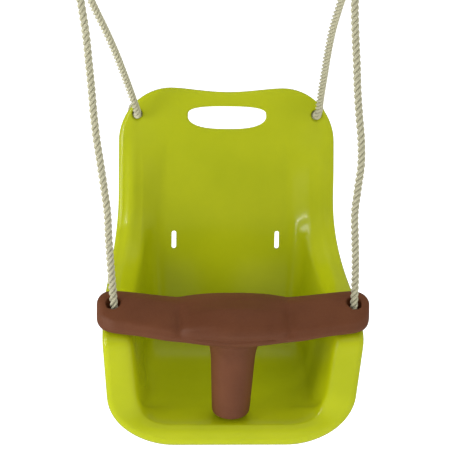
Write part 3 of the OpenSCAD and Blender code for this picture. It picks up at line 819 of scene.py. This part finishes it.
def seat_shell():
    """The shell with its openings: the grip and the back's rope holes have round rims."""
    shell = shell_blank()
    fix_normals(shell)
    rim_r = WALL / 2
    cutters, rims = [], []
    # each rimmed opening: its place across, its distance below the top, and its outline outside the rim
    rimmed = [(0, GRIP_DROP, grip_shape(rim_r))]
    rimmed += [(side * BACK_HOLE_X, BACK_HOLE_DROP, circle(HOLE_R + rim_r)) for side in (-1, 1)]
    for x, drop, shape in rimmed:
        points, out = panel_outline(x, drop, shape)
        cutters.append(prism("cutter", points, out, CUT_HALF))
        rims.append(round_rim("rim", points, out, rim_r - RIM_UNDER))
    for side in (-1, 1):
        points, out = panel_outline(side * SLOT_X, BACK_H - SLOT_Z, stadium(SLOT_W, SLOT_LEN))
        cutters.append(prism("cutter", points, out, CUT_HALF))
        rope_hole = [at_seat(side * FLANGE_HOLE_X + a, FLANGE_HOLE_F + b, ARM_H) for a, b in circle(HOLE_R)]
        cutters.append(prism("cutter", rope_hole, np.array([0, 0, 1.0]), CUT_HALF))
    cut(shell, cutters)
    cut(shell, rims, "UNION")
    sharpen(shell, EDGE_ANGLE)
    dress(shell, LIME)
    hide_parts("seat_shell")
    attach(shell, "seat")


# ---------------------------------------------------------------- safety bar
BAR_HALF, BAR_DEPTH, BAR_H, BAR_BOW, BACK_BOW, BELLY = ARM_HALF + 7, 61, 35, 32, 14, 6
PAD_HALF, PAD_RISE, PAD_POWER, SCOOP, SCOOP_RUN = 66, 6, 2.2, 3.5, 80
BOW_RUN, BOW_ROUND, BELLY_RUN = 155, 35, 115
BAR_Z = ARM_H + 0.6
BAR_FRONT_END = SEAT_DEPTH + 2
BAR_END_R, BAR_END_DROP, BAR_END_HALF, BAR_END_SHARE = 24, 11, 4, 0.55
BAR_POWER = 2 / 4
# Drop of the top towards its front edge, in the middle and at the ends.
FRONT_SLOPE, END_SLOPE = 8, 11
# Soft shapes of the skin, in millimetres: a fold beside the pad, the pad's proud front, a crease under
# the pad at a height of -1 to 1 in the section, and a proud band along the lower front.
FOLD_DEPTH, FOLD_WIDTH, PAD_PROUD = 3.0, 6.5, 4.2
CREASE_DEPTH, CREASE_AT, CREASE_WIDTH, CREASE_HALF, CREASE_FADE = 2.2, -0.34, 0.06, 40, 26
BAND_PROUD, BAND_START, BAND_FADE = 1.2, 60, 25
BAR_SIDES, FLAT_X_STEPS, END_X_STEPS = 72, 70, 16
VOXEL, SMOOTH_PASSES = 1.25, 3
BORE_R, BORE_X, BORE_FRONT, ROPE_LEAN, BORE_SLANT, BORE_STEP = 9, ARM_HALF - 13, 267, 0.184, -0.04, 6
BORE_HALF = 70
POST_TOP_R, POST_FOOT_R, POST_FOOT_F, POST_TOP_F, POST_FOOT_Z = 28.5, 23.5, 268, 284, 13
POST_FLARE, FLARE_FROM, POST_ROUND, POST_STEPS = 5, 0.7, 5.0, 24
# The post's last ring is hidden inside the crossbar.
HIDDEN_IN, HIDDEN_AT = 4, 1.1


def soft_power(v):
    """Fills a round section out towards a square: v and the result both run from -1 to 1."""
    return math.copysign(abs(v) ** BAR_POWER, v)


def chevron(a, run):
    """From 0 in the middle to 1 at the end of its run: straight, but rounded over in the middle."""
    return clamp01((math.hypot(a, BOW_ROUND) - BOW_ROUND) / (math.hypot(run, BOW_ROUND) - BOW_ROUND))


def bar_section(a):
    """The crossbar's section at a distance from its middle: middle and half size, forwards and upwards."""
    bow = 1 - chevron(a, BOW_RUN)
    front = BAR_FRONT_END + BAR_BOW * bow
    back = BAR_FRONT_END - BAR_DEPTH + BACK_BOW * bow
    pad = 1 - clamp01(a / PAD_HALF) ** PAD_POWER
    dish = SCOOP * (1 - pad) * (1 - ease((a - PAD_HALF) / SCOOP_RUN))
    past = clamp01((a - BAR_HALF + BAR_END_R) / BAR_END_R)
    past_z = clamp01((a - BAR_HALF + BAR_END_DROP) / BAR_END_DROP)
    top = BAR_Z + BAR_H + PAD_RISE * pad - dish
    bottom = BAR_Z - BELLY * (1 - chevron(a, BELLY_RUN))
    half_f = max((front - back) / 2 * math.sqrt(1 - past ** 2), BAR_END_HALF)
    half_z = (top - bottom) / 2 * mix(BAR_END_SHARE, 1, math.sqrt(1 - past_z ** 2))
    return (front + back) / 2, half_f, (top + bottom) / 2, half_z


def bar_relief(a, forward, upward):
    """How far the skin stands proud of the plain section at a distance from the middle, in millimetres."""
    # shares of a full effect: over the front face, over its upper part, and over its lower part
    facing = ease((forward + 0.1) / 0.5)
    above = ease((upward + 0.30) / 0.35)
    below = ease((-0.05 - upward) / 0.25)
    fold = -FOLD_DEPTH * math.exp(-((a - PAD_HALF) / FOLD_WIDTH) ** 2) * above * facing
    pad = PAD_PROUD * (1 - clamp01(a / PAD_HALF) ** 2) * above * facing
    crease = (-CREASE_DEPTH * math.exp(-((upward - CREASE_AT) / CREASE_WIDTH) ** 2) * facing
              * (1 - ease((a - CREASE_HALF) / CREASE_FADE)))
    band = BAND_PROUD * below * facing * ease((a - BAND_START) / BAND_FADE)
    return fold + pad + crease + band


def slope_down(a, forward, upward):
    """How far the top slopes down towards the front, for a point at -1 to 1 each way in the section."""
    return (mix(FRONT_SLOPE, END_SLOPE, chevron(a, BOW_RUN))
            * ease((forward + 0.4) / 1.4) * clamp01((upward + 0.6) / 1.6))


def crossbar_blank():
    """The crossbar from end to end, before its bores are cut."""
    flat_x = [i * (BAR_HALF - BAR_END_R) / FLAT_X_STEPS for i in range(FLAT_X_STEPS + 1)]
    end_x = [BAR_HALF - BAR_END_R * (1 - sind(90 * i / END_X_STEPS)) for i in range(1, END_X_STEPS + 1)]
    half_x = flat_x + end_x
    rings = []
    for x in [-v for v in reversed(half_x[1:])] + half_x:
        mid_f, half_f, mid_z, half_z = bar_section(abs(x))
        ring = []
        for i in range(BAR_SIDES):
            a = 2 * math.pi * (i + 0.5) / BAR_SIDES
            forward, upward = soft_power(math.cos(a)), soft_power(math.sin(a))
            relief = bar_relief(abs(x), forward, upward)
            slope = slope_down(abs(x), forward, upward)
            ring.append(at_seat(x, mid_f + half_f * forward + relief * math.cos(a),
                                mid_z + half_z * upward + relief * math.sin(a) - slope))
        rings.append(ring)
    return loft("t_bar", rings)


def post_blank():
    """The post, turned round its own leaning axis, and run up into the crossbar."""
    rise, lean = BAR_Z - BELLY - POST_FOOT_Z, POST_TOP_F - POST_FOOT_F
    profile = [(POST_FOOT_R - POST_ROUND * (1 - sind(a)), POST_ROUND * (1 - cosd(a)) / rise)
               for a in range(0, 91, 15)]
    for i in range(1, POST_STEPS + 1):
        s = mix(POST_ROUND / rise, 1.0, i / POST_STEPS)
        flare = POST_FLARE * clamp01((s - FLARE_FROM) / (1 - FLARE_FROM)) ** 2
        profile.append((mix(POST_FOOT_R, POST_TOP_R, s) + flare, s))
    profile.append((POST_TOP_R - HIDDEN_IN, HIDDEN_AT))
    turns = [2 * math.pi * i / BAR_SIDES for i in range(BAR_SIDES)]
    rings = []
    for r, s in profile:
        f, z = POST_FOOT_F + lean * s, POST_FOOT_Z + rise * s
        rings.append([at_seat(r * math.cos(a), f + r * math.sin(a), z) for a in turns])
    return loft("post_blank", rings)


def bore(side):
    """A cutter for the rope's way through the crossbar, along the ropes' lean."""
    axis = unit(np.array([BORE_SLANT, ROPE_LEAN, 1.0]))
    start = at_seat(side * BORE_X, BORE_FRONT, BAR_Z + BAR_H)
    right = unit(np.cross(axis, [0, 1, 0]))
    over = np.cross(axis, right)
    ring = [start + BORE_R * MM * (cosd(a) * right + sind(a) * over) for a in range(0, 360, BORE_STEP)]
    return prism("bore", ring, axis, BORE_HALF)


def safety_bar():
    """The crossbar and the post as one moulding, with soft corners where they meet."""
    bar = crossbar_blank()
    fix_normals(bar)
    post = post_blank()
    fix_normals(post)
    cut(bar, [post], "UNION")
    cut(bar, [bore(-1), bore(1)])
    skin = bar.modifiers.new("skin", "REMESH")
    skin.mode = "VOXEL"
    skin.voxel_size = VOXEL * MM
    skin.use_smooth_shade = True
    soft = bar.modifiers.new("soft", "SMOOTH")
    soft.factor = 0.5
    soft.iterations = SMOOTH_PASSES
    apply_modifiers(bar)
    dress(bar, BROWN)
    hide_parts("crossbar", "post")
    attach(bar, "safety_bar")


seat_shell()
safety_bar()


# ---------------------------------------------------------------- stage and lights
FLOOR_HALF, FLOOR_DROP, FLOOR_GLOW = 7.0, 0.45, 0.8
WORLD_LIGHT, WORLD_IN_REFLECTIONS = 0.45, 0.2
SEAT_MIDDLE = (0, 0, -0.5)
# name, place, aim, size, power, and whether it shows in reflections
LIGHTS = [
    ("front", (0.1, -2.3, 1.1), SEAT_MIDDLE, (2.0, 2.0), 10, False),
    ("fill", (1.9, -1.2, 0.4), SEAT_MIDDLE, (1.2, 1.2), 8, False),
    ("key", (-1.8, -1.5, 0.2), SEAT_MIDDLE, (0.8, 1.2), 8, False),
    ("left edge", (-1.7, -0.3, -0.35), SEAT_MIDDLE, (0.5, 1.2), 8, True),
    ("top", (0.4, 0.4, 1.7), SEAT_MIDDLE, (1.8, 1.8), 24, False),
    ("strip", (-1.25, -0.85, -0.3), (0.1, 0.1, -0.45), (0.03, 1.8), 6, True),
]


def pale_stage():
    """A white floor below the swing, which the reflections leave out."""
    m = Nodes("pale_floor", Roughness=0.9, Specular_IOR_Level=0.1, Emission_Strength=FLOOR_GLOW)
    m.shader.inputs["Emission Color"].default_value = rgb(1, 1, 1)
    cloud = m.noise(m.coordinates(), scale=1.5, detail=3.0)
    m.link(m.blend(cloud, rgb(0.86, 0.86, 0.86), rgb(0.9, 0.9, 0.9)), "Base Color")
    z = cad_bounds[0].z - FLOOR_DROP
    corners = [(x * FLOOR_HALF, y * FLOOR_HALF, z) for x, y in ((-1, -1), (1, -1), (1, 1), (-1, 1))]
    floor = mesh_object("floor", corners, [(0, 1, 2, 3)])
    floor.data.materials.append(m.material)
    floor.visible_glossy = False


def area_light(name, place, aim, size, power, reflects):
    """A rectangle of light at a place, turned to face its aim."""
    data = bpy.data.lights.new(name, "AREA")
    data.shape = "RECTANGLE"
    data.size, data.size_y = size
    data.energy = power
    light = bpy.data.objects.new(name, data)
    light.location = place
    light.rotation_euler = (Vector(aim) - Vector(place)).to_track_quat("-Z", "Y").to_euler()
    light.visible_glossy = reflects
    bpy.context.scene.collection.objects.link(light)


def white_world():
    """White surroundings: full white to the camera, an even soft light, and dimmer in reflections."""
    world = bpy.data.worlds.new("world")
    world.use_nodes = True
    tree = world.node_tree
    background = tree.nodes["Background"]
    background.inputs["Color"].default_value = rgb(1, 1, 1)
    path = tree.nodes.new("ShaderNodeLightPath")
    strength = tree.nodes.new("ShaderNodeMapRange")
    strength.inputs["To Min"].default_value = WORLD_LIGHT
    strength.inputs["To Max"].default_value = WORLD_IN_REFLECTIONS
    tree.links.new(path.outputs["Is Glossy Ray"], strength.inputs["Value"])
    seen = tree.nodes.new("ShaderNodeMath")
    seen.operation = "MAXIMUM"
    tree.links.new(strength.outputs["Result"], seen.inputs[0])
    tree.links.new(path.outputs["Is Camera Ray"], seen.inputs[1])
    tree.links.new(seen.outputs["Value"], background.inputs["Strength"])
    bpy.context.scene.world = world
    bpy.context.scene.view_settings.view_transform = "Standard"


pale_stage()
for settings in LIGHTS:
    area_light(*settings)
white_world()
